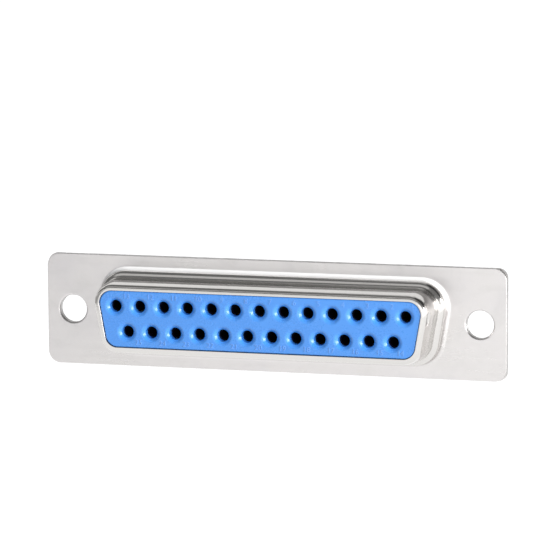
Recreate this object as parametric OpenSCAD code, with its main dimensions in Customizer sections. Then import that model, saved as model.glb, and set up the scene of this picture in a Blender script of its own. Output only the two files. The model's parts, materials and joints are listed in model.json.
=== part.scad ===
// D-sub socket connector: 25 contacts in two rows, with solder cups behind.
// X runs along the flange, the mating face looks along -Y, and Z is up.
// The origin is on the front of the flange, midway between the mounting holes.
// "Out" means outward from the outer D outline of the hood, square to its sides.

/* [Contact field] */
// Distance between neighbouring contacts in a row
pitch = 2.76; // [2.65:0.01:3]
// Distance between the two rows
row_gap = 2.84; // [2.7:0.01:3.2]
// From an end contact of the long row to the outside of the hood
end_margin = 2.59; // [2.5:0.01:3.2]
// From a row to the outside of the hood
row_margin = 2.53; // [2.45:0.01:3]

/* [Hood] */
// Lean of the hood's two ends
end_lean = 10; // [6:0.5:12]
// Radius of the hood's corners, outside
hood_r = 2.2; // [1.8:0.1:2.4]
// How far the hood's rim stands in front of the flange
hood_reach = 5.95; // [5.6:0.05:6.4]
// How far the wider base of the hood stands in front of the flange
base_reach = 1.65; // [1.5:0.05:2.2]
// How far the base stands out from the hood above it
base_step = 0.75; // [0.6:0.05:0.8]
// From the outside of the hood to the edge of its turned-in rim
rim_turn = 0.77; // [0.65:0.01:0.85]

/* [Flange] */
// Sheet of the front shell
front_t = 0.4; // [0.3:0.05:0.45]
// Sheet of the rear shell
rear_t = 0.4; // [0.3:0.05:0.45]
// Diameter of the two mounting holes
hole_d = 3.1; // [2.8:0.05:3.5]
// From the end of the hood to the centre of a mounting hole
hole_margin = 4.37; // [4.2:0.01:5]
// From the centre of a mounting hole to the end of the flange
flange_end = 3; // [2.6:0.05:4]
// From the hood to the long edge of the flange
flange_rim = 2.3; // [2.25:0.05:4]
// Radius of the front flange's corners
front_corner = 1.4; // [0.8:0.1:2]
// Radius of the rear flange's corners
rear_corner = 1.1; // [0.6:0.1:2]

/* [Crimp tabs] */
// Width of a crimp tab
tab_w = 2.6; // [1.5:0.1:3]
// Length of a tab's flap on the back of the rear flange
tab_flap = 1.1; // [0.6:0.1:1.4]
// From the centre of a mounting hole towards the hood, to a tab
tab_inset = 0.4; // [0.2:0.1:0.8]
// Inside radius of a tab's bend
tab_in = 0.05; // [0.02:0.01:0.1]
// Play round a tab in the notch of the rear flange
tab_play = 0.1; // [0.05:0.01:0.2]

/* [Rear collar] */
// How far the collar reaches behind the front of the flange
collar_reach = 4.4; // [3.8:0.1:5]
// From the outside of the collar to the edge of its turned-in end
collar_turn = 1.18; // [0.9:0.02:1.3]

/* [Insulators] */
// Play between an insulator and the walls round it
wall_play = 0.03; // [0.01:0.01:0.05]
// Play in front of an insulator's shoulders and round its nose
nose_play = 0.05; // [0.02:0.01:0.1]
// Depth of the blue face behind the rim
face_sink = 0.08; // [0:0.01:0.3]
// How far the rear insulator bears on the front shell, all round the base
bearing = 0.55; // [0.45:0.05:0.6]
// How far the rear insulator stands behind the collar
tail_reach = 1.8; // [1:0.1:3]

/* [Socket mouths] */
// Diameter of a funnel at the face
funnel_d = 1.8; // [1.6:0.05:2.2]
// Depth of a funnel
funnel_depth = 0.3; // [0.2:0.05:0.7]
// Diameter of the hole behind a funnel
entry_d = 1.45; // [1.35:0.05:1.5]
// Diameter of that hole at its floor, less by the mould's draft
floor_d = 1.35; // [1.2:0.05:1.35]
// From the face to the floor of the entry hole
entry_depth = 1; // [0.8:0.05:1.4]

/* [Contacts] */
// Diameter of the plug's pin
pin_d = 1.02; // [0.9:0.01:1.06]
// Play all round a pin in its socket
pin_play = 0.02; // [0.01:0.005:0.04]
// Depth of a socket bore
bore_depth = 5.2; // [4.6:0.1:5.2]
// Outside diameter of a socket barrel
barrel_d = 1.56; // [1.5:0.02:1.64]
// Width of the slots that make the barrel spring
slot_w = 0.16; // [0.1:0.02:0.2]
// Length of the slots
slot_depth = 3.4; // [2:0.1:4.5]
// Diameter of the retaining collar
ring_d = 2.1; // [1.95:0.05:2.3]
// Thickness of the retaining collar
ring_t = 0.65; // [0.4:0.05:0.8]
// Diameter of the shaft and of the solder cup
shaft_d = 1.7; // [1.6:0.05:1.8]
// Bore of a solder cup
cup_d = 1.2; // [1:0.05:1.3]
// Depth of a solder cup
cup_depth = 3; // [2:0.1:3.4]
// Length of a cup's open side
cup_open = 2.3; // [1.5:0.1:2.8]
// How far a cup stands behind the rear insulator
cup_reach = 4.7; // [4:0.1:6]
// Play round a contact in its passages
contact_play = 0.03; // [0.01:0.01:0.05]
// Small bevels on a contact's edges
contact_bevel = 0.1; // [0.05:0.01:0.15]

/* [Hidden] */
$fn = 48;
cut = 1;

long_row = 13;
short_row = 12;
ways = long_row + short_row;

// Outlines: the centres of the four corner arcs, their radius, and the lean.
hood_w = (long_row - 1) * pitch + 2 * end_margin;
hood_h = row_gap + 2 * row_margin;
hole_x = hood_w / 2 + hole_margin;
flange_w = 2 * (hole_x + flange_end);
flange_h = hood_h + 2 * flange_rim;
hood_line = d_line(hood_w, hood_h, hood_r, end_lean);
front_line = d_line(flange_w, flange_h, front_corner, 0);
rear_line = d_line(flange_w, flange_h, rear_corner, 0);

// How far out the front shell's and the front insulator's levels lie.
rim_out = -rim_turn;
nose_out = rim_out - nose_play;
neck_out = -front_t - wall_play;
waist_out = base_step - front_t - wall_play;
body_out = base_step + bearing;

// The same for the rear shell and the rear insulator.
collar_out = body_out + wall_play + rear_t;
lip_out = collar_out - collar_turn;
tail_out = lip_out - nose_play;
flange_back = front_t + rear_t;
lip_front = collar_reach - rear_t;

// Depths of the insulators and the contacts.
face_y = face_sink - hood_reach;
shoulder_y = front_t + nose_play - hood_reach;
base_y = front_t + nose_play - base_reach;
tail_y = collar_reach + tail_reach;
floor_y = face_y + entry_depth;
mouth_y = floor_y + nose_play;
ring_y = front_t - ring_t;
cup_y = tail_y + cup_reach;

function label(n) = str("contact_", n < 10 ? "0" : "", n);

// Contact 1 is at the right-hand end of the long row, seen from the mating side.
function is_long(n) = n <= long_row;
function place(n) = is_long(n)
    ? [((long_row + 1) / 2 - n) * pitch, row_gap / 2]
    : [(long_row + (short_row + 1) / 2 - n) * pitch, -row_gap / 2];

// A rounded box, or a D that is wide at the top, as corner centres, radius and lean.
function d_line(w, h, r, lean) =
    let (x = w / 2 - r, z = h / 2 - r, low = x - 2 * z * tan(lean))
    [[[x, z], [-x, z], [-low, -z], [low, -z]], r, lean];

// First and last direction of each corner's arc.
function turns(lean) = [
    [-lean, 90],
    [90, 180 + lean],
    [180 + lean, 270],
    [270, 360 - lean]
];

// The flat outline, grown by out.
module outline(line, out = 0) {
    r = line[1] + out;
    arcs = turns(line[2]);
    polygon([for (i = [0:3], a = arcs[i]) line[0][i] + r * [cos(a), sin(a)]]);
    for (corner = line[0])
        translate(corner)
            circle(r);
}

// The outline as a solid, from y0 back to y1.
module slab(line, out, y0, y1) {
    translate([0, y1, 0])
        rotate([90, 0, 0])
            linear_extrude(y1 - y0)
                outline(line, out);
}

// A quarter bend of sheet round a centre, in the quadrant that the two signs name.
module bend(centre, inner, t, side_x, side_y) {
    r = inner + t;
    translate(centre)
        intersection() {
            difference() {
                circle(r);
                circle(inner);
            }
            translate([side_x > 0 ? 0 : -r, side_y > 0 ? 0 : -r])
                square(r);
        }
}

// A level stretch of section between two corners.
module strip(x0, y0, x1, y1) {
    translate([x0, y0])
        square([x1 - x0, y1 - y0]);
}

// A round passage along Y at a place [x, z].
module passage(at, d, y0, y1) {
    translate([at[0], y1, at[1]])
        rotate([90, 0, 0])
            cylinder(d = d, h = y1 - y0);
}

// Both mounting holes, through everything from y0 to y1.
module mounting_holes(y0, y1) {
    for (side = [-1, 1])
        passage([side * hole_x, 0], hole_d, y0, y1);
}

// The front shell's outer form: plate, base and hood.
module front_form() {
    slab(front_line, 0, 0, front_t);
    slab(hood_line, base_step, -base_reach, 0);
    slab(hood_line, 0, -hood_reach, -base_reach);
}

// What is drawn out of it: the mouth, the hood and the base.
module front_hollow() {
    slab(hood_line, rim_out, -hood_reach - cut, 0);
    slab(hood_line, -front_t, front_t - hood_reach, 0);
    slab(hood_line, base_step - front_t, front_t - base_reach, front_t + cut);
}

// A tab that passes the rear flange's edge and folds down behind it, at x and side +-1.
module crimp_tab(x, side) {
    reach = tab_in + front_t;
    translate([x - tab_w / 2, 0, side * flange_h / 2])
        mirror([0, 0, side > 0 ? 1 : 0])
            rotate([90, 0, 90])
                linear_extrude(tab_w) {
                    strip(front_t, 0, flange_back - tab_in, front_t);
                    bend([flange_back - tab_in, reach], tab_in, front_t, 1, -1);
                    strip(flange_back, reach, flange_back + front_t, reach + tab_flap);
                }
}

// Where the tabs stand along X.
function tab_places() = [-1, 1] * (hole_x - tab_inset);

module front_shell() {
    color("silver") {
        difference() {
            front_form();
            front_hollow();
            mounting_holes(-cut, front_t + cut);
        }
        for (x = tab_places(), side = [-1, 1])
            crimp_tab(x, side);
    }
}

// The rear shell's outer form: plate and collar.
module rear_form() {
    slab(rear_line, 0, front_t, flange_back);
    slab(hood_line, collar_out, flange_back, collar_reach);
}

// What is drawn out of it: the collar and the opening of its turned-in end.
module rear_hollow() {
    slab(hood_line, collar_out - rear_t, front_t - cut, lip_front);
    slab(hood_line, lip_out, lip_front - cut, collar_reach + cut);
}

// The notches of the rear flange that the tabs pass through.
module tab_notches() {
    depth = front_t + tab_play;
    width = tab_w + 2 * tab_play;
    for (x = tab_places(), side = [-1, 1])
        translate([x - width / 2, 0, side > 0 ? flange_h / 2 - depth : -flange_h / 2 - cut])
            cube([width, flange_back + cut, depth + cut]);
}

module rear_shell() {
    color("silver")
        difference() {
            rear_form();
            rear_hollow();
            mounting_holes(0, flange_back + cut);
            tab_notches();
        }
}

module front_insulator() {
    color("dodgerblue")
        difference() {
            union() {
                slab(hood_line, nose_out, face_y, shoulder_y);
                slab(hood_line, neck_out, shoulder_y, base_y);
                slab(hood_line, waist_out, base_y, front_t);
            }
            for (n = [1:ways]) {
                mouth(place(n));
                passage(place(n), barrel_d + 2 * contact_play, floor_y, front_t);
                passage(place(n), ring_d + 2 * contact_play, ring_y, front_t + cut);
            }
        }
}

// A socket's mouth: a funnel that leads the pin in, and a hole that narrows to its floor.
module mouth(at) {
    flare = (funnel_d - entry_d) / funnel_depth / 2;
    translate([at[0], 0, at[1]])
        rotate([-90, 0, 0])
            rotate_extrude()
                polygon([
                    [0, face_y - cut],
                    [funnel_d / 2 + flare * cut, face_y - cut],
                    [entry_d / 2, face_y + funnel_depth],
                    [floor_d / 2, floor_y],
                    [floor_d / 2, floor_y + cut],
                    [0, floor_y + cut]
                ]);
}

module rear_insulator() {
    color("dodgerblue")
        difference() {
            union() {
                slab(hood_line, body_out, front_t, lip_front);
                slab(hood_line, tail_out, lip_front, tail_y);
            }
            for (n = [1:ways])
                passage(place(n), shaft_d + 2 * contact_play, 0, tail_y + cut);
        }
}

// A turned contact along +Y. The cup opens to the side that up names, 1 or -1.
module contact(at, up) {
    r = barrel_d / 2;
    bore = pin_d + 2 * pin_play;
    translate([at[0], 0, at[1]])
        difference() {
            rotate([-90, 0, 0])
                rotate_extrude()
                    polygon([
                        [0, mouth_y],
                        [r - contact_bevel, mouth_y],
                        [r, mouth_y + contact_bevel],
                        [r, ring_y],
                        [ring_d / 2, ring_y],
                        [ring_d / 2, front_t],
                        [shaft_d / 2, front_t],
                        [shaft_d / 2, cup_y - contact_bevel],
                        [shaft_d / 2 - contact_bevel, cup_y],
                        [0, cup_y]
                    ]);
            passage([0, 0], bore, mouth_y - cut, mouth_y + bore_depth);
            passage([0, 0], cup_d, cup_y - cup_depth, cup_y + cut);
            translate([-slot_w / 2, mouth_y - cut, -barrel_d])
                cube([slot_w, slot_depth + cut, 2 * barrel_d]);
            translate([-shaft_d, cup_y - cup_open, up > 0 ? 0 : -shaft_d])
                cube([2 * shaft_d, cup_open + cut, shaft_d]);
        }
}

module numbered_contact(n) {
    color("gold")
        contact(place(n), is_long(n) ? 1 : -1);
}

front_shell();
rear_shell();
front_insulator();
rear_insulator();
for (n = [1:ways])
    numbered_contact(n);
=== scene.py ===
"""Dresses the D-sub socket connector: plated steel shells, blue insulators, gold contacts."""
import json
import math

import bmesh
import bpy
from mathutils import Matrix, Vector
from mathutils.geometry import tessellate_polygon


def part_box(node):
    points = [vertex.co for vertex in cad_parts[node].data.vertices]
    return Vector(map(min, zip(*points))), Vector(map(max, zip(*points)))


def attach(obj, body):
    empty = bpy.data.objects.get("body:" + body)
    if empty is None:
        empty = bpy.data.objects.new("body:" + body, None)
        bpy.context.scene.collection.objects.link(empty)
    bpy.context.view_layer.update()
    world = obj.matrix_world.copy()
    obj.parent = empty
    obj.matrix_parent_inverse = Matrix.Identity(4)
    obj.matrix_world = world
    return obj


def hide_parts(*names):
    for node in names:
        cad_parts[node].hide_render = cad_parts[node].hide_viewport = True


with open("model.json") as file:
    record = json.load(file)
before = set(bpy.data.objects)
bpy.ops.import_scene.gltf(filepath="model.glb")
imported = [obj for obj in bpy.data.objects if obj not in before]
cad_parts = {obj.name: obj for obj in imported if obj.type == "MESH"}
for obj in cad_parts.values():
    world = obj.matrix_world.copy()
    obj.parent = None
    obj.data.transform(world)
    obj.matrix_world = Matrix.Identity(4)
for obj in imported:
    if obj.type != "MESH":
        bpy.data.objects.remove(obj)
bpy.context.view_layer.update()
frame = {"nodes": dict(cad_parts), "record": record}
NODES = frame["nodes"]
WAYS = sum(name.startswith("contact_") for name in NODES)
MM = 0.001


# ---------------------------------------------------------------- sizes, in millimetres
# "Out" means outward from the outer D outline of the hood, square to its sides, as in the
# part's source. A section is a list of points (out, y) that is swept round an outline.
def corners(node):
    """A node's lowest and highest corners."""
    return [[v / MM for v in corner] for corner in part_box(node)]


def contact_place(n):
    """Centre of contact n as x and z, from its solid."""
    lo, hi = corners(f"contact_{n:02d}")
    return (lo[0] + hi[0]) / 2, (lo[2] + hi[2]) / 2


# From the frame.
SHELL_LO, SHELL_HI = corners("front_shell")
BLOCK_LO, BLOCK_HI = corners("front_insulator")
HOLES = next(m for m in frame["record"]["mounts"] if m["name"] == "panel_holes")["dims"]
FLANGE_W, FLANGE_H = 2 * SHELL_HI[0], 2 * SHELL_HI[2]
RIM_Y, FACE_Y, BLOCK_BACK = SHELL_LO[1], BLOCK_LO[1], BLOCK_HI[1]
COLLAR_Y = corners("rear_shell")[1][1]
MOUTH_Y = corners("contact_01")[0][1]
HOLE_X, HOLE_R = HOLES["spacing_x_mm"] / 2, HOLES["hole_r_mm"]
PITCH = contact_place(1)[0] - contact_place(2)[0]

# Sizes of the solids that the frame doesn't give, as in the part's source.
# The flange: its sheet, and the corners of its front and rear layer.
SHEET, FRONT_CORNER, REAR_CORNER = 0.4, 1.4, 1.1
# The hood: from an end contact and from a row to its outside, its corners, and its ends' lean.
END_MARGIN, ROW_MARGIN, HOOD_R, END_LEAN = 2.59, 2.53, 2.2, 10
# The hood's base: how far it stands forward and out. The rim: how far it turns in.
BASE_REACH, BASE_STEP, RIM_TURN = 1.65, 0.75, 0.77
# The crimp tabs: width, flap, distance from the hole, inside of the bend, play in the notch.
TAB_W, TAB_FLAP, TAB_INSET, TAB_IN, TAB_PLAY = 2.6, 1.1, 0.4, 0.05, 0.1
# The collar: how far it turns in, and how wide the rear insulator bears round the base.
COLLAR_TURN, BEARING = 1.18, 0.55
# The front insulator: play at its walls and nose, depth of a socket's entry, and what follows it.
WALL_PLAY, NOSE_PLAY, ENTRY_DEPTH, PASSAGE_R = 0.03, 0.05, 1.0, 0.81

# Worked out from those.
HOOD_W = 2 * (contact_place(1)[0] + END_MARGIN)
HOOD_H = 2 * (contact_place(1)[1] + ROW_MARGIN)
RIM_OUT = -RIM_TURN
COLLAR_OUT = BASE_STEP + BEARING + WALL_PLAY + SHEET
LIP_OUT = COLLAR_OUT - COLLAR_TURN
NOSE_OUT = RIM_OUT - NOSE_PLAY
NECK_OUT = -SHEET - WALL_PLAY
WAIST_OUT = BASE_STEP - SHEET - WALL_PLAY
SHOULDER_Y = RIM_Y + SHEET + NOSE_PLAY
NECK_BACK = SHEET + NOSE_PLAY - BASE_REACH
FLANGE_BACK = 2 * SHEET
TAB_X = HOLE_X - TAB_INSET
NOTCH_W, NOTCH_D = TAB_W + 2 * TAB_PLAY, SHEET + TAB_PLAY

# Rounds and bends of the front shell that only this script has. The base's front leans back by
# BASE_LEAN degrees, and the hood's wall stands SWELL outside the solid's. The rim turns in over
# three bends, each with its radius and its first and last direction: 0 is out, -90 the front.
# EDGE_R rounds the flange's edge, and HOLE_ROLL the front edge of the mounting holes.
FOOT_R, SHOULDER_R, WAIST_R = 0.42, 0.45, 0.35
BASE_LEAN, SWELL = 22, 0.11
RIM_BENDS = ((7.5, 0, -15), (0.4, -15, -78), (1.1, -78, -90))
RIM_EDGE_R, RIM_CHAMFER = 0.03, 0.05
EDGE_R, HOLE_ROLL = 0.06, 0.2

# Rounds of the collar, and bevels of the tabs, the rear insulator and the face.
COLLAR_FOOT_R, COLLAR_END_R, LIP_R = 0.3, 0.5, 0.1
TAB_BEVEL, TAIL_BEVEL, FACE_BEVEL = 0.05, 0.2, 0.12

# A socket's mouth flares by FLARE over a round of MOUTH_R, to an entry that narrows to its floor.
FLARE, MOUTH_R, ENTRY_R, FLOOR_R, PASSAGE_D = 0.5, 0.5, 0.69, 0.66, 2.0

# The numbers: height, rise above the face, distance from the middle line, and from a row's end.
NUMBER_SIZE, NUMBER_RISE, NUMBER_Z, ROW_END_GAP = 0.85, 0.05, 2.55, 0.95

# A strip of this width keeps the shading of a round off the flat beside it.
HOLD = 0.04
# Steps of a corner of the flange and of the hood, and of a whole mounting hole and mouth.
FLANGE_STEPS, HOOD_STEPS, HOLE_STEPS, MOUTH_STEPS = 10, 14, 48, 36
# Points closer than this are one.
WELD = 0.0001


# ---------------------------------------------------------------- outlines
def polar(r, degrees):
    """Across and along parts of a distance r in a direction."""
    a = math.radians(degrees)
    return r * math.cos(a), r * math.sin(a)


def arc(cx, cy, r, first, last, steps):
    """Points on an arc, with its first and last direction in degrees."""
    pts = []
    for k in range(steps + 1):
        dx, dy = polar(r, first + (last - first) * k / steps)
        pts.append((cx + dx, cy + dy))
    return pts


def circle(cx, cz, r, steps=HOLE_STEPS):
    """A whole circle, whose first point isn't repeated."""
    return arc(cx, cz, r, 0, 360, steps)[:-1]


def ring(w, h, r, lean, out, steps):
    """Points (x, z) round a rounded box, or a D that is wide at the top, grown by out."""
    x, z = w / 2 - r, h / 2 - r
    low = x - 2 * z * math.tan(math.radians(lean))
    bends = (
        (x, z, -lean, 90),
        (-x, z, 90, 180 + lean),
        (-low, -z, 180 + lean, 270),
        (low, -z, 270, 360 - lean),
    )
    return [p for cx, cz, first, last in bends for p in arc(cx, cz, r + out, first, last, steps)]


def hood_line(out):
    """The hood's D, grown by out."""
    return ring(HOOD_W, HOOD_H, HOOD_R, END_LEAN, out, HOOD_STEPS)


def flange_line(corner, out=0.0):
    """A flange's outline, grown by out."""
    return ring(FLANGE_W, FLANGE_H, corner, 0, out, FLANGE_STEPS)


def hole_lines(r):
    """Both mounting holes."""
    return [circle(side * HOLE_X, 0, r) for side in (-1, 1)]


# ---------------------------------------------------------------- mesh helpers
def link(obj):
    bpy.context.scene.collection.objects.link(obj)
    return obj


def mesh_object(name, bm):
    """Turns a bmesh into a linked object."""
    mesh = bpy.data.meshes.new(name)
    bm.to_mesh(mesh)
    bm.free()
    return link(bpy.data.objects.new(name, mesh))


class Builder:
    """Collects swept sections and flat caps, then welds them into one object."""

    def __init__(self):
        self.verts, self.faces = [], []

    def loft(self, rows):
        """rows: lists of (x, y, z) of one length, each joined to the next all the way round."""
        n = len(rows[0])
        base = len(self.verts)
        for row in rows:
            self.verts.extend(row)
        for i in range(len(rows) - 1):
            for k in range(n):
                a, b = base + i * n + k, base + i * n + (k + 1) % n
                self.faces.append((a, b, b + n, a + n))

    def sweep(self, line_at, section):
        """Carries a section (size, y) round an outline that depends on the size."""
        self.loft([[(x, y, z) for x, z in line_at(size)] for size, y in section])

    def cap(self, loops, place):
        """A flat face inside the first loop and outside the others, put in space by place."""
        base = len(self.verts)
        flat = [[Vector((u, v, 0)) for u, v in loop] for loop in loops]
        for loop in loops:
            self.verts.extend(place(u, v) for u, v in loop)
        for tri in tessellate_polygon(flat):
            self.faces.append(tuple(base + i for i in tri))

    def plate(self, loops, y):
        """A cap that is square to Y."""
        self.cap(loops, lambda x, z: (x, y, z))

    def build(self, name, sharp_from=35):
        """Welds, shades smooth, and keeps edges sharper than sharp_from degrees."""
        bm = bmesh.new()
        verts = [bm.verts.new((x * MM, y * MM, z * MM)) for x, y, z in self.verts]
        for face in self.faces:
            bm.faces.new([verts[i] for i in face])
        bmesh.ops.remove_doubles(bm, verts=bm.verts, dist=WELD * MM)
        bmesh.ops.recalc_face_normals(bm, faces=bm.faces)
        obj = mesh_object(name, bm)
        for p in obj.data.polygons:
            p.use_smooth = True
        obj.data.set_sharp_from_angle(angle=math.radians(sharp_from))
        return obj


def soften(obj, width):
    """A small bevel on an object's sharp edges, as a modifier."""
    mod = obj.modifiers.new("soft_edges", "BEVEL")
    mod.width = width * MM
    mod.segments = 3
    mod.limit_method = "ANGLE"
    mod.angle_limit = math.radians(40)
    mod.harden_normals = True


# ---------------------------------------------------------------- materials
# Linear colours.
WARM_STEEL, PALE_STEEL, COOL_STEEL = (0.650, 0.630, 0.615), (0.692, 0.670, 0.662), (0.675, 0.655, 0.658)
# The last colour on the next line is a painted highlight: near-white for the upper side of the hood's
# foot fillet, where the light falls.
STAINED_STEEL, DRAWN_STEEL, PAINTED_FOOT_HIGHLIGHT = (0.585, 0.572, 0.560), (0.64, 0.625, 0.605), (0.90, 0.89, 0.88)
DARK_CUT, PALE_CUT = (0.42, 0.41, 0.40), (0.56, 0.55, 0.54)
DEEP_BLUE, CLEAR_BLUE = (0.047, 0.252, 0.735), (0.060, 0.280, 0.775)
FLOW_BLUE, WORN_BLUE = (0.074, 0.310, 0.80), (0.30, 0.55, 0.95)
DARK_GOLD, PALE_GOLD = (0.72, 0.50, 0.20), (0.86, 0.64, 0.30)
# Painted shade: the near-black, navy-tinted colours inside a socket.
BORE_SHADE_DARK, BORE_SHADE_PALE = (0.001, 0.001, 0.005), (0.004, 0.004, 0.016)

# A noise's usual range, the same scale along all axes, and where a vector's Y and Z stand.
USUAL = (0.35, 0.65)
EVEN = (1, 1, 1)
AXIS_Y, AXIS_Z = 1, 2


class Nodes:
    """A short way to write a node material on the part's own coordinates."""

    def __init__(self, name):
        self.mat = bpy.data.materials.new(name)
        self.tree = empty_tree(self.mat)
        self.shader = self.add("ShaderNodeBsdfPrincipled")
        self.link(self.shader.outputs[0], self.add("ShaderNodeOutputMaterial").inputs[0])
        texture = self.add("ShaderNodeTexCoord")
        self.coord, self.normal = texture.outputs["Object"], texture.outputs["Normal"]

    def add(self, kind, **values):
        node = self.tree.nodes.new(kind)
        for key, value in values.items():
            setattr(node, key, value)
        return node

    def link(self, a, b):
        self.tree.links.new(a, b)

    def feed(self, socket, value):
        """Puts a number, a colour or another node's output into a socket."""
        if isinstance(value, bpy.types.NodeSocket):
            self.link(value, socket)
        else:
            socket.default_value = (*value, 1) if isinstance(value, tuple) else value

    def set(self, **values):
        """Feeds the shader's sockets, with _ for each space in their names."""
        for key, value in values.items():
            self.feed(self.shader.inputs[key.replace("_", " ")], value)

    def mapped(self, scale, turn=(0, 0, 0)):
        m = self.add("ShaderNodeMapping")
        m.inputs["Scale"].default_value = scale
        m.inputs["Rotation"].default_value = turn
        self.link(self.coord, m.inputs["Vector"])
        return m.outputs[0]

    def noise(self, vector, scale, detail=3.0, rough=0.5, distortion=0.0):
        n = self.add("ShaderNodeTexNoise")
        names = ("Vector", "Scale", "Detail", "Roughness", "Distortion")
        for key, value in zip(names, (vector, scale, detail, rough, distortion)):
            self.feed(n.inputs[key], value)
        return n.outputs["Fac"]

    def ramp(self, value, *stops):
        r = self.add("ShaderNodeValToRGB")
        elements = r.color_ramp.elements
        while len(elements) < len(stops):
            elements.new(0.5)
        for element, (at, colour) in zip(elements, stops):
            element.position = at
            element.color = (*colour, 1)
        self.link(value, r.inputs[0])
        return r.outputs[0]

    def span(self, value, lo, hi, start, end):
        """lo where the value is at start, hi where it is at end, and level beyond them."""
        m = self.add("ShaderNodeMapRange")
        names = ("Value", "To Min", "To Max", "From Min", "From Max")
        for key, v in zip(names, (value, lo, hi, start, end)):
            self.feed(m.inputs[key], v)
        return m.outputs[0]

    def split(self, vector, axis):
        n = self.add("ShaderNodeSeparateXYZ")
        self.link(vector, n.inputs[0])
        return n.outputs[axis]

    def rising(self, start, end):
        """0 in front of y = start and 1 behind y = end, in millimetres."""
        return self.span(self.split(self.coord, AXIS_Y), 0.0, 1.0, start * MM, end * MM)

    def falling(self, start, end):
        """1 in front of y = start and 0 behind y = end, in millimetres."""
        return self.span(self.split(self.coord, AXIS_Y), 1.0, 0.0, start * MM, end * MM)

    def math(self, operation, a, b):
        m = self.add("ShaderNodeMath", operation=operation)
        self.feed(m.inputs[0], a)
        self.feed(m.inputs[1], b)
        return m.outputs[0]

    def times(self, a, b):
        return self.math("MULTIPLY", a, b)

    def plus(self, a, b):
        return self.math("ADD", a, b)

    def blend(self, fac, a, b):
        """The number a where fac is 0, and b where it is 1."""
        n = self.add("ShaderNodeMix", data_type="FLOAT")
        for index, value in zip((0, 2, 3), (fac, a, b)):
            self.feed(n.inputs[index], value)
        return n.outputs[0]

    def mix(self, fac, a, b):
        """The colour a where fac is 0, and b where it is 1."""
        n = self.add("ShaderNodeMix", data_type="RGBA")
        for index, value in zip((0, 6, 7), (fac, a, b)):
            self.feed(n.inputs[index], value)
        return n.outputs[2]

    def bump(self, height, strength, depth, below=None):
        """Raises the surface by up to depth millimetres, on top of the bump below it."""
        b = self.add("ShaderNodeBump")
        b.inputs["Strength"].default_value = strength
        b.inputs["Distance"].default_value = depth * MM
        self.link(height, b.inputs["Height"])
        if below:
            self.link(below, b.inputs["Normal"])
        return b.outputs[0]


def empty_tree(owner):
    owner.use_nodes = True
    owner.node_tree.nodes.clear()
    return owner.node_tree


def plated_steel(name):
    """Satin plating on the flange, drawn brighter over the hood, with haze, rub marks and stains; the
    foot fillet's upper side has a painted highlight.
    """
    m = Nodes(name)
    plain = m.mapped(EVEN)
    haze = m.noise(plain, 110, 4, 0.6, 0.4)
    blotch = m.noise(m.mapped((1, 1, 1.4)), 330, 5, 0.65, 0.6)
    rub = m.noise(m.mapped((60, 900, 2600), (0, 0.5, 0)), 1.0, 5, 0.6)

    # Masks: the hood, the hollow of its waist, and the upper side of the fillet at its foot, which gets
    # a painted highlight.
    hood = m.falling(-0.7, -0.4)
    waist = m.times(m.rising(-3.0, -2.4), m.falling(-1.9, -1.6))
    foot = m.times(m.rising(-FOOT_R - 0.1, -FOOT_R), m.falling(0.0, 0.01))
    foot = m.times(foot, m.span(m.split(m.normal, AXIS_Y), 0.0, 1.0, -0.999, -0.97))
    foot = m.times(foot, m.span(m.split(m.normal, AXIS_Z), 0.0, 1.0, -0.1, 0.3))

    base = m.ramp(haze, (0.30, WARM_STEEL), (0.52, PALE_STEEL), (0.75, COOL_STEEL))
    base = m.mix(m.span(blotch, 0.0, 0.4, 0.50, 0.75), base, STAINED_STEEL)
    base = m.mix(m.times(hood, 0.9), base, DRAWN_STEEL)
    # Painted highlight: the foot fillet's upper side turns near-white and hardly metallic, standing in
    # for the light that falls on it.
    base = m.mix(foot, base, PAINTED_FOOT_HIGHLIGHT)

    satin = m.span(m.plus(m.times(haze, 0.6), m.times(rub, 0.4)), 0.24, 0.38, *USUAL)
    bright = m.plus(m.span(haze, 0.07, 0.15, *USUAL), m.times(waist, 0.2))
    rough = m.plus(m.blend(hood, satin, bright), m.times(foot, 0.2))

    # Skin of the plating, its fine grain, rub marks, drawing lines, and waves in the hood.
    normal = m.bump(m.noise(plain, 900, 4, 0.55), 0.16, 0.03)
    normal = m.bump(m.noise(plain, 5200, 3, 0.6), 0.16, 0.008, normal)
    normal = m.bump(rub, 0.12, 0.01, normal)
    drawn = m.noise(m.mapped((1500, 40, 1500)), 1.0, 4, 0.6)
    normal = m.bump(m.times(hood, drawn), 0.15, 0.01, normal)
    normal = m.bump(m.times(hood, m.noise(plain, 190, 2, 0.4)), 0.30, 0.08, normal)
    m.set(Base_Color=base, Metallic=m.span(foot, 0.97, 0.1, 0.0, 1.0), Roughness=rough, Normal=normal)
    return m.mat


def sheared_steel(name):
    """The cut edges of the sheet: duller, with the die's lines across them."""
    m = Nodes(name)
    lines = m.noise(m.mapped((2200, 300, 2200)), 1.0, 4, 0.6)
    base = m.ramp(m.noise(m.mapped(EVEN), 700, 3, 0.5), (0.35, DARK_CUT), (0.65, PALE_CUT))
    rough = m.span(lines, 0.3, 0.5, *USUAL)
    m.set(Base_Color=base, Metallic=1.0, Roughness=rough, Normal=m.bump(lines, 0.4, 0.02))
    return m.mat


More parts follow.
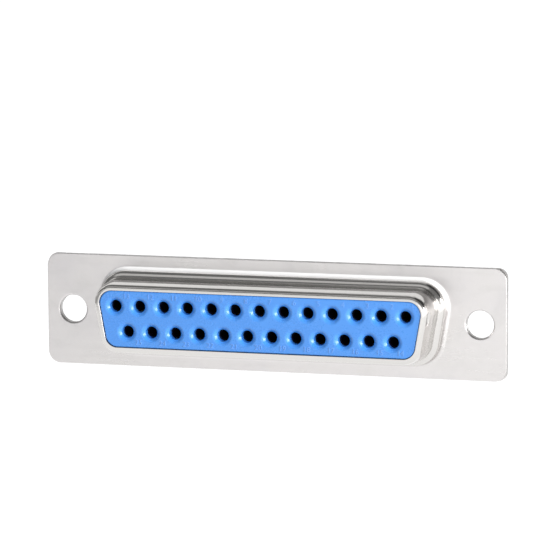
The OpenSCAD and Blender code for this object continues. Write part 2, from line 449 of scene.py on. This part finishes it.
def blue_plastic(name, wear=0.0):
    """Moulded blue polyester with faint flow marks, paler by the share of wear."""
    m = Nodes(name)
    cloud = m.noise(m.mapped(EVEN), 160, 3, 0.5)
    grain = m.noise(m.mapped(EVEN), 4200, 4, 0.6)
    flow = m.noise(m.mapped((500, 300, 1500)), 1.0, 3, 0.5, 0.5)
    base = m.ramp(cloud, (0.30, DEEP_BLUE), (0.70, CLEAR_BLUE))
    base = m.mix(m.span(flow, 0.0, 0.25, 0.45, 0.8), base, FLOW_BLUE)
    base = m.mix(wear, base, WORN_BLUE)
    rough = m.span(m.plus(m.times(cloud, 0.5), m.times(grain, 0.5)), 0.22, 0.34, *USUAL)
    normal = m.bump(flow, 0.10, 0.03, m.bump(grain, 0.12, 0.01))
    m.set(Base_Color=base, Roughness=rough, Normal=normal, Specular_IOR_Level=0.9)
    return m.mat


def gold_plate(name):
    """Gold over turned copper alloy, with fine turning lines and faint stains."""
    m = Nodes(name)
    turned = m.noise(m.mapped((300, 9000, 300)), 1.0, 3, 0.5)
    stain = m.noise(m.mapped(EVEN), 600, 4, 0.6)
    base = m.ramp(stain, (0.32, DARK_GOLD), (0.68, PALE_GOLD))
    rough = m.span(stain, 0.2, 0.36, *USUAL)
    m.set(Base_Color=base, Metallic=1.0, Roughness=rough, Normal=m.bump(turned, 0.2, 0.006))
    return m.mat


def unlit_bore(name):
    """Painted shade for the inside of a socket, too deep for any light to come back; its navy tint
    stands in for light bounced off the blue.
    """
    m = Nodes(name)
    grain = m.noise(m.mapped(EVEN), 2500, 3, 0.5)
    base = m.ramp(grain, (0.35, BORE_SHADE_DARK), (0.65, BORE_SHADE_PALE))
    rough = m.span(grain, 0.5, 0.8, 0.0, 1.0)
    m.set(Base_Color=base, Metallic=0.0, Roughness=rough, Specular_IOR_Level=0.1)
    return m.mat


STEEL = plated_steel("plated_steel_look")
SHEARED = sheared_steel("sheared_edge_look")
BLUE = blue_plastic("blue_plastic_look")
RUBBED_BLUE = blue_plastic("rubbed_number_look", 0.28)
GOLD = gold_plate("gold_plate_look")
BORE_SHADE = unlit_bore("painted_bore_shade_look")


def dress(obj, mat):
    obj.data.materials.clear()
    obj.data.materials.append(mat)


def piece(obj, mat, slot, *nodes):
    """Makes an object a piece of the part, which stands for the nodes named."""
    dress(obj, mat)
    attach(obj, "root")
    if nodes:
        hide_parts(*nodes)
    return obj


# ---------------------------------------------------------------- shells
def shear(obj):
    """Gives a flange's cut edges, at its outline and in its holes, their own look."""
    # Along X the edge begins just before the rounded corners, and along Z at the very rim.
    near, rim = 0.02, 0.05
    end_x, side_z = FLANGE_W / 2 - FRONT_CORNER - 2 * rim, FLANGE_H / 2 - rim
    obj.data.materials.append(SHEARED)
    for p in obj.data.polygons:
        x, y, z = abs(p.center.x) / MM, p.center.y / MM, abs(p.center.z) / MM
        in_hole = math.hypot(x - HOLE_X, z) < HOLE_R + near
        at_edge = in_hole or x > end_x or z > side_z
        if at_edge and y >= near and abs(p.normal.y) <= 0.5:
            p.material_index = 1


def hole_walls(builder, section):
    """Sweeps a section (radius, y) round both mounting holes."""
    for side in (-1, 1):
        builder.sweep(lambda r: circle(side * HOLE_X, 0, r), section)


def base_section():
    """The base's shoulder, its leaning front, and the hollow below the hood."""
    turn = 90 - BASE_LEAN
    c, s = polar(1, turn)
    top, low = BASE_STEP - SHOULDER_R * (1 - c), SWELL + WAIST_R * (1 - c)
    drop = (top - low) * math.tan(math.radians(BASE_LEAN))
    shoulder_y = -BASE_REACH + SHOULDER_R * s + drop / 2
    waist_y = -BASE_REACH - WAIST_R * s - drop / 2
    shoulder = arc(BASE_STEP - SHOULDER_R, shoulder_y, SHOULDER_R, 0, -turn, 9)
    return shoulder + arc(SWELL + WAIST_R, waist_y, WAIST_R, 180 - turn, 180, 7)


def rim_section():
    """The turned-in rim, from the hood's wall over its bends to the edge inside."""
    pts = [(SWELL, 0)]
    for r, first, last in RIM_BENDS:
        dx, dy = polar(r, first)
        pts += arc(pts[-1][0] - dx, pts[-1][1] - dy, r, first, last, 7)[1:]
    depth = pts[-1][1]
    pts = [(out, y - depth + RIM_Y) for out, y in pts]
    pts += arc(RIM_OUT + RIM_EDGE_R, RIM_Y + RIM_EDGE_R, RIM_EDGE_R, -90, -180, 3)
    back = RIM_Y + SHEET
    return pts + [(RIM_OUT, back - RIM_CHAMFER), (RIM_OUT + RIM_CHAMFER, back)]


def front_shell():
    """The hood, its base and the front flange, as one sheet with both its faces."""
    b = Builder()
    foot = BASE_STEP + FOOT_R
    hollow = BASE_STEP - SHEET
    section = [(foot + HOLD, 0), *arc(foot, -FOOT_R, FOOT_R, 90, 180, 8)]
    section += base_section() + rim_section()
    section += [(-SHEET, RIM_Y + SHEET), (-SHEET, SHEET - BASE_REACH)]
    section += [(hollow, SHEET - BASE_REACH), (hollow, SHEET)]
    b.sweep(hood_line, section)

    edge = [(-EDGE_R - HOLD, 0), *arc(-EDGE_R, EDGE_R, EDGE_R, -90, 0, 5)]
    edge += [(0, SHEET - HOLD), (-HOLD, SHEET), (-2 * HOLD, SHEET)]
    b.sweep(lambda out: flange_line(FRONT_CORNER, out), edge)

    rolled = HOLE_R + HOLE_ROLL
    wall = [(rolled + HOLD, 0), *arc(rolled, HOLE_ROLL, HOLE_ROLL, 270, 180, 6)]
    wall += [(HOLE_R, SHEET - HOLD), (HOLE_R + HOLD, SHEET), (HOLE_R + 2 * HOLD, SHEET)]
    hole_walls(b, wall)

    outer = flange_line(FRONT_CORNER, -EDGE_R - HOLD)
    b.plate([outer, hood_line(foot + HOLD), *hole_lines(rolled + HOLD)], 0)
    outer = flange_line(FRONT_CORNER, -2 * HOLD)
    b.plate([outer, hood_line(hollow), *hole_lines(HOLE_R + 2 * HOLD)], SHEET)
    return b.build("front_shell_sheet")


def crimp_tab(x, side):
    """A tab folded over the rear flange: a strip of sheet on a bent path in Y and Z."""
    top, root = FLANGE_H / 2, SHEET / 2
    bend_y, bend_z = FLANGE_BACK - TAB_IN, top - TAB_IN - SHEET
    tip = bend_z - TAB_FLAP
    path = [(root, top), *arc(bend_y, bend_z, TAB_IN + SHEET, 90, 0, 8)]
    path += [(FLANGE_BACK + SHEET, tip), (FLANGE_BACK, tip)]
    path += [*arc(bend_y, bend_z, TAB_IN, 0, 90, 4), (root, top - SHEET)]
    b = Builder()
    ends = (x - TAB_W / 2, x + TAB_W / 2)
    b.loft([[(end, y, side * z) for y, z in path] for end in ends])
    for end in ends:
        b.cap([path], lambda y, z: (end, y, side * z))
    return b.build(f"crimp_tab_{'left' if x < 0 else 'right'}_{'top' if side > 0 else 'bottom'}")


def notched_line():
    """The rear flange's outline with the notches that the tabs pass through."""
    line, n = flange_line(REAR_CORNER), FLANGE_STEPS + 1
    corner = [line[i * n:(i + 1) * n] for i in range(4)]

    def notch(x, side, way):
        a, b = x - way * NOTCH_W / 2, x + way * NOTCH_W / 2
        top, floor = side * FLANGE_H / 2, side * (FLANGE_H / 2 - NOTCH_D)
        return [(a, top), (a, floor), (b, floor), (b, top)]

    upper = notch(TAB_X, 1, -1) + notch(-TAB_X, 1, -1)
    lower = notch(-TAB_X, -1, 1) + notch(TAB_X, -1, 1)
    return corner[0] + upper + corner[1] + corner[2] + lower + corner[3]


def rear_shell():
    """The collar and the rear flange, as one sheet with both its faces."""
    b = Builder()
    foot, end = COLLAR_OUT + COLLAR_FOOT_R, COLLAR_OUT - COLLAR_END_R
    hollow, lip_y = COLLAR_OUT - SHEET, COLLAR_Y - SHEET
    section = [(foot + HOLD, FLANGE_BACK)]
    section += arc(foot, FLANGE_BACK + COLLAR_FOOT_R, COLLAR_FOOT_R, 270, 180, 6)
    section += arc(end, COLLAR_Y - COLLAR_END_R, COLLAR_END_R, 0, 90, 8)
    section += arc(LIP_OUT + LIP_R, COLLAR_Y - LIP_R, LIP_R, 90, 180, 4)
    section += [(LIP_OUT, lip_y), (hollow, lip_y), (hollow, SHEET)]
    b.sweep(hood_line, section)

    holes = hole_lines(HOLE_R + 2 * HOLD)
    b.plate([notched_line(), hood_line(hollow), *holes], SHEET)
    b.plate([notched_line(), hood_line(foot + HOLD), *holes], FLANGE_BACK)
    b.loft([[(x, y, z) for x, z in notched_line()] for y in (SHEET, FLANGE_BACK)])
    wall = [(HOLE_R + 2 * HOLD, SHEET), (HOLE_R + HOLD, SHEET), (HOLE_R, SHEET + HOLD)]
    wall += [(HOLE_R, FLANGE_BACK - HOLD), (HOLE_R + HOLD, FLANGE_BACK)]
    wall += [(HOLE_R + 2 * HOLD, FLANGE_BACK)]
    hole_walls(b, wall)
    return b.build("rear_shell_sheet")


shear(piece(front_shell(), STEEL, "plated_steel", "front_shell"))
for tab_x in (-TAB_X, TAB_X):
    for tab_side in (-1, 1):
        soften(piece(crimp_tab(tab_x, tab_side), STEEL, "plated_steel"), TAB_BEVEL)
shear(piece(rear_shell(), STEEL, "plated_steel", "rear_shell"))


# ---------------------------------------------------------------- insulators and contacts
def front_insulator():
    """The face with its funnels; the rest of the block is plain and hidden by the shell."""
    b = Builder()
    face = NOSE_OUT - FACE_BEVEL
    section = [(face - HOLD, FACE_Y), *arc(face, FACE_Y + FACE_BEVEL, FACE_BEVEL, -90, 0, 5)]
    section += [(NOSE_OUT, SHOULDER_Y), (NECK_OUT, SHOULDER_Y), (NECK_OUT, NECK_BACK)]
    section += [(WAIST_OUT, NECK_BACK), (WAIST_OUT, BLOCK_BACK)]
    b.sweep(hood_line, section)

    # A funnel's rounded mouth, then a cone at 45 degrees, the entry hole and the barrel's passage.
    mouth = ENTRY_R + FLARE
    funnel = [(mouth + HOLD, FACE_Y), *arc(mouth, FACE_Y + MOUTH_R, MOUTH_R, 270, 225, 7)]
    funnel += [(ENTRY_R, funnel[-1][1] + funnel[-1][0] - ENTRY_R)]
    floor_y = FACE_Y + ENTRY_DEPTH
    funnel += [(FLOOR_R, floor_y), (PASSAGE_R, floor_y), (PASSAGE_R, floor_y + PASSAGE_D)]
    places = [contact_place(n) for n in range(1, WAYS + 1)]
    for x, z in places:
        b.sweep(lambda r: circle(x, z, r, MOUTH_STEPS), funnel)
    mouths = [circle(x, z, mouth + HOLD, MOUTH_STEPS) for x, z in places]
    b.plate([hood_line(face - HOLD), *mouths], FACE_Y)
    b.plate([hood_line(WAIST_OUT)], BLOCK_BACK)
    return b.build("front_insulator_block", 30)


def number_place(n):
    """A number stands outside its row, to the right of its socket, in metres."""
    x, z = contact_place(n)
    starts_row = n == 1 or contact_place(n - 1)[0] < x
    right = ROW_END_GAP if starts_row else PITCH / 2
    return Vector((x + right, FACE_Y, math.copysign(NUMBER_Z, z))) * MM


def number_mesh(n):
    """The number n as a flat-lying solid round the origin."""
    curve = bpy.data.curves.new(f"number_{n:02d}", "FONT")
    curve.body = str(n)
    curve.size = NUMBER_SIZE * MM
    curve.align_x, curve.align_y = "CENTER", "CENTER"
    curve.extrude = NUMBER_RISE * MM
    curve.resolution_u = 3
    text = link(bpy.data.objects.new(curve.name, curve))
    solid = bpy.data.meshes.new_from_object(text.evaluated_get(bpy.context.evaluated_depsgraph_get()))
    bpy.data.objects.remove(text)
    bpy.data.curves.remove(curve)
    return solid


def contact_numbers():
    """The contacts' numbers, raised on the face, as one piece."""
    bm = bmesh.new()
    upright = Matrix.Rotation(math.pi / 2, 4, "X")
    for n in range(1, WAYS + 1):
        solid = number_mesh(n)
        solid.transform(Matrix.Translation(number_place(n)) @ upright)
        bm.from_mesh(solid)
        bpy.data.meshes.remove(solid)
    bmesh.ops.remove_doubles(bm, verts=bm.verts, dist=WELD * MM)
    return mesh_object("contact_numbers", bm)


def dress_contact(n):
    """Gold, with painted shade in the socket's bore and on the edge round its mouth."""
    # The painted shade reaches just past the bore's wall and floor, and just behind the mouth.
    bore_r, bore_end, mouth_end = 0.55, 0.5, MOUTH_Y + 0.05
    contact = NODES[f"contact_{n:02d}"]
    x, z = contact_place(n)
    dress(contact, GOLD)
    contact.data.materials.append(BORE_SHADE)
    for p in contact.data.polygons:
        c = p.center / MM
        in_bore = c.y < bore_end and math.hypot(c.x - x, c.z - z) < bore_r
        if in_bore or c.y < mouth_end:
            p.material_index = 1


piece(front_insulator(), BLUE, "blue_plastic", "front_insulator")
piece(contact_numbers(), RUBBED_BLUE, "blue_plastic")
dress(NODES["rear_insulator"], BLUE)
soften(NODES["rear_insulator"], TAIL_BEVEL)
for number in range(1, WAYS + 1):
    dress_contact(number)


# ---------------------------------------------------------------- stage, in metres
# A place on the stage is its azimuth from -Y towards +X, its elevation and its distance.
# The floor lies below the part, which its mount holds.
FLOOR_Z, FLOOR_SIZE, FLOOR_GREY, FLOOR_GLOW = -0.045, 6, 0.4, 0.85
SKY_TINT, SKY_STRENGTH = (0.95, 0.97, 1.0), 0.6

# The dark room's radius, the elevations where it begins in front and behind, and its shade.
ROOM_R, ROOM_FRONT, ROOM_REAR, ROOM_SHADE = 1.6, 8, 42, 0.17

# Name, place, width and height, radiance, and whether metal and plastic mirror the lamp.
# The key lights the whole part. The hood and the funnels mirror the strips and the fill.
LAMPS = (
    ("key", (66, 12, 0.9), (0.80, 0.36), 11.0, False),
    ("right_strip", (71, 7, 0.9), (0.62, 0.46), 7.0, True),
    ("top_strip", (-18, 38, 0.8), (0.70, 0.20), 0.5, True),
    ("rear_strip", (163, 64, 0.8), (0.60, 0.50), 0.5, True),
    ("fill", (22, -4, 0.28), (0.26, 0.06), 1.15, True),
)

# Name, place, width and height, and how bright the card looks in a mirror.
CARDS = (
    ("black_flag", (104, 52, 0.7), (1.0, 0.75), 0.01),
    ("left_card", (-62, -3, 0.25), (0.34, 0.1), 0.42),
)


def toward(azimuth, elevation, distance):
    """A place as seen from the part."""
    a, e = math.radians(azimuth), math.radians(elevation)
    level = distance * math.cos(e)
    return Vector((level * math.sin(a), -level * math.cos(a), distance * math.sin(e)))


def aim_at_part(obj, place, front):
    """Puts an object at a place with its front axis towards the part."""
    obj.location = toward(*place)
    obj.rotation_mode = "QUATERNION"
    obj.rotation_quaternion = (-obj.location).to_track_quat(front, "Y")


def looked_at(tree):
    """1 where the camera, a mirror or glass looks straight at a surface, 0 for other light."""
    path = tree.nodes.new("ShaderNodeLightPath")
    seen = path.outputs["Is Camera Ray"]
    for other in ("Is Glossy Ray", "Is Transmission Ray"):
        either = tree.nodes.new("ShaderNodeMath")
        either.operation = "MAXIMUM"
        tree.links.new(seen, either.inputs[0])
        tree.links.new(path.outputs[other], either.inputs[1])
        seen = either.outputs[0]
    return seen


def coloured(tree, kind, colour, strength=None):
    """A background, glow or diffuse node of one colour."""
    node = tree.nodes.new(kind)
    node.inputs[0].default_value = (*colour, 1)
    if strength is not None:
        node.inputs[1].default_value = strength
    return node


def make_world():
    """A plain sky for the light on the part, which looks white."""
    world = bpy.data.worlds.new("studio")
    bpy.context.scene.world = world
    t = empty_tree(world)
    mix = t.nodes.new("ShaderNodeMixShader")
    sky = coloured(t, "ShaderNodeBackground", SKY_TINT, SKY_STRENGTH)
    white = coloured(t, "ShaderNodeBackground", (1, 1, 1), 1.0)
    t.links.new(looked_at(t), mix.inputs[0])
    t.links.new(sky.outputs[0], mix.inputs[1])
    t.links.new(white.outputs[0], mix.inputs[2])
    t.links.new(mix.outputs[0], t.nodes.new("ShaderNodeOutputWorld").inputs[0])


def make_floor():
    """A grey floor that looks white, apart from the part's shadow."""
    bpy.ops.mesh.primitive_plane_add(size=FLOOR_SIZE, location=(0, 0, FLOOR_Z))
    floor = bpy.context.object
    floor.name = "floor"
    mat = bpy.data.materials.new("pale_floor")
    t = empty_tree(mat)
    add = t.nodes.new("ShaderNodeAddShader")
    flat = coloured(t, "ShaderNodeBsdfDiffuse", (FLOOR_GREY,) * 3)
    glow = coloured(t, "ShaderNodeEmission", (1, 1, 1))
    strength = t.nodes.new("ShaderNodeMath")
    strength.operation = "MULTIPLY"
    strength.inputs[1].default_value = FLOOR_GLOW
    t.links.new(looked_at(t), strength.inputs[0])
    t.links.new(strength.outputs[0], glow.inputs[1])
    t.links.new(flat.outputs[0], add.inputs[0])
    t.links.new(glow.outputs[0], add.inputs[1])
    t.links.new(add.outputs[0], t.nodes.new("ShaderNodeOutputMaterial").inputs[0])
    floor.data.materials.append(mat)


def unseen_glow(name, bm, shade):
    """A stage object of one even brightness that the camera doesn't see."""
    obj = mesh_object(name, bm)
    mat = bpy.data.materials.new(name)
    t = empty_tree(mat)
    glow = coloured(t, "ShaderNodeEmission", (shade,) * 3, 1.0)
    t.links.new(glow.outputs[0], t.nodes.new("ShaderNodeOutputMaterial").inputs[0])
    obj.data.materials.append(mat)
    obj.visible_camera = False
    obj.visible_shadow = False
    return obj


def dark_room():
    """The unlit room above the table, as polished metal mirrors it."""
    bm = bmesh.new()
    bmesh.ops.create_uvsphere(bm, u_segments=48, v_segments=48, radius=ROOM_R)
    front, rear = (polar(ROOM_R, edge)[1] for edge in (ROOM_FRONT, ROOM_REAR))
    low = [v for v in bm.verts if v.co.z < (front if v.co.y < 0 else rear)]
    bmesh.ops.delete(bm, geom=low, context="VERTS")
    unseen_glow("dark_room", bm, ROOM_SHADE).visible_diffuse = False


def card(name, place, size, shade):
    """A flat card for the metal and plastic to mirror."""
    bm = bmesh.new()
    bmesh.ops.create_grid(bm, x_segments=1, y_segments=1, size=0.5)
    obj = unseen_glow(name, bm, shade)
    obj.scale = (*size, 1)
    aim_at_part(obj, place, "Z")


def soft_lamp(name, place, size, radiance, glossy):
    """A plain area lamp of an even radiance."""
    light = bpy.data.lights.new(name, "AREA")
    light.shape = "RECTANGLE"
    light.size, light.size_y = size
    light.energy = radiance * math.pi * size[0] * size[1]
    obj = link(bpy.data.objects.new(name, light))
    aim_at_part(obj, place, "-Z")
    obj.visible_glossy = glossy
    obj.visible_camera = False


make_world()
make_floor()
dark_room()
for lamp_settings in LAMPS:
    soft_lamp(*lamp_settings)
for card_settings in CARDS:
    card(*card_settings)


# ---------------------------------------------------------------- camera
# The place, as for a lamp, and the roll in degrees. Lens and sensor are in millimetres, and the
# shift is a share of the picture's width.
VIEW, ROLL = (16.63, 9.06, 0.4379), 0.387
LENS, SENSOR = 263.1667, 36
SHIFT_X, SHIFT_Y = -0.006481, 0.086222


def make_camera():
    """The photograph's viewing angle: from the front, a little to the right and from above."""
    data = bpy.data.cameras.new("camera")
    data.sensor_width, data.lens = SENSOR, LENS
    data.shift_x, data.shift_y = SHIFT_X, SHIFT_Y
    data.clip_start, data.clip_end = 0.01, 50
    camera = link(bpy.data.objects.new("camera", data))
    aim_at_part(camera, VIEW, "-Z")
    camera.rotation_quaternion @= Matrix.Rotation(math.radians(-ROLL), 3, "Z").to_quaternion()
    bpy.context.scene.camera = camera


make_camera()
bpy.context.scene.view_settings.view_transform = "Standard"
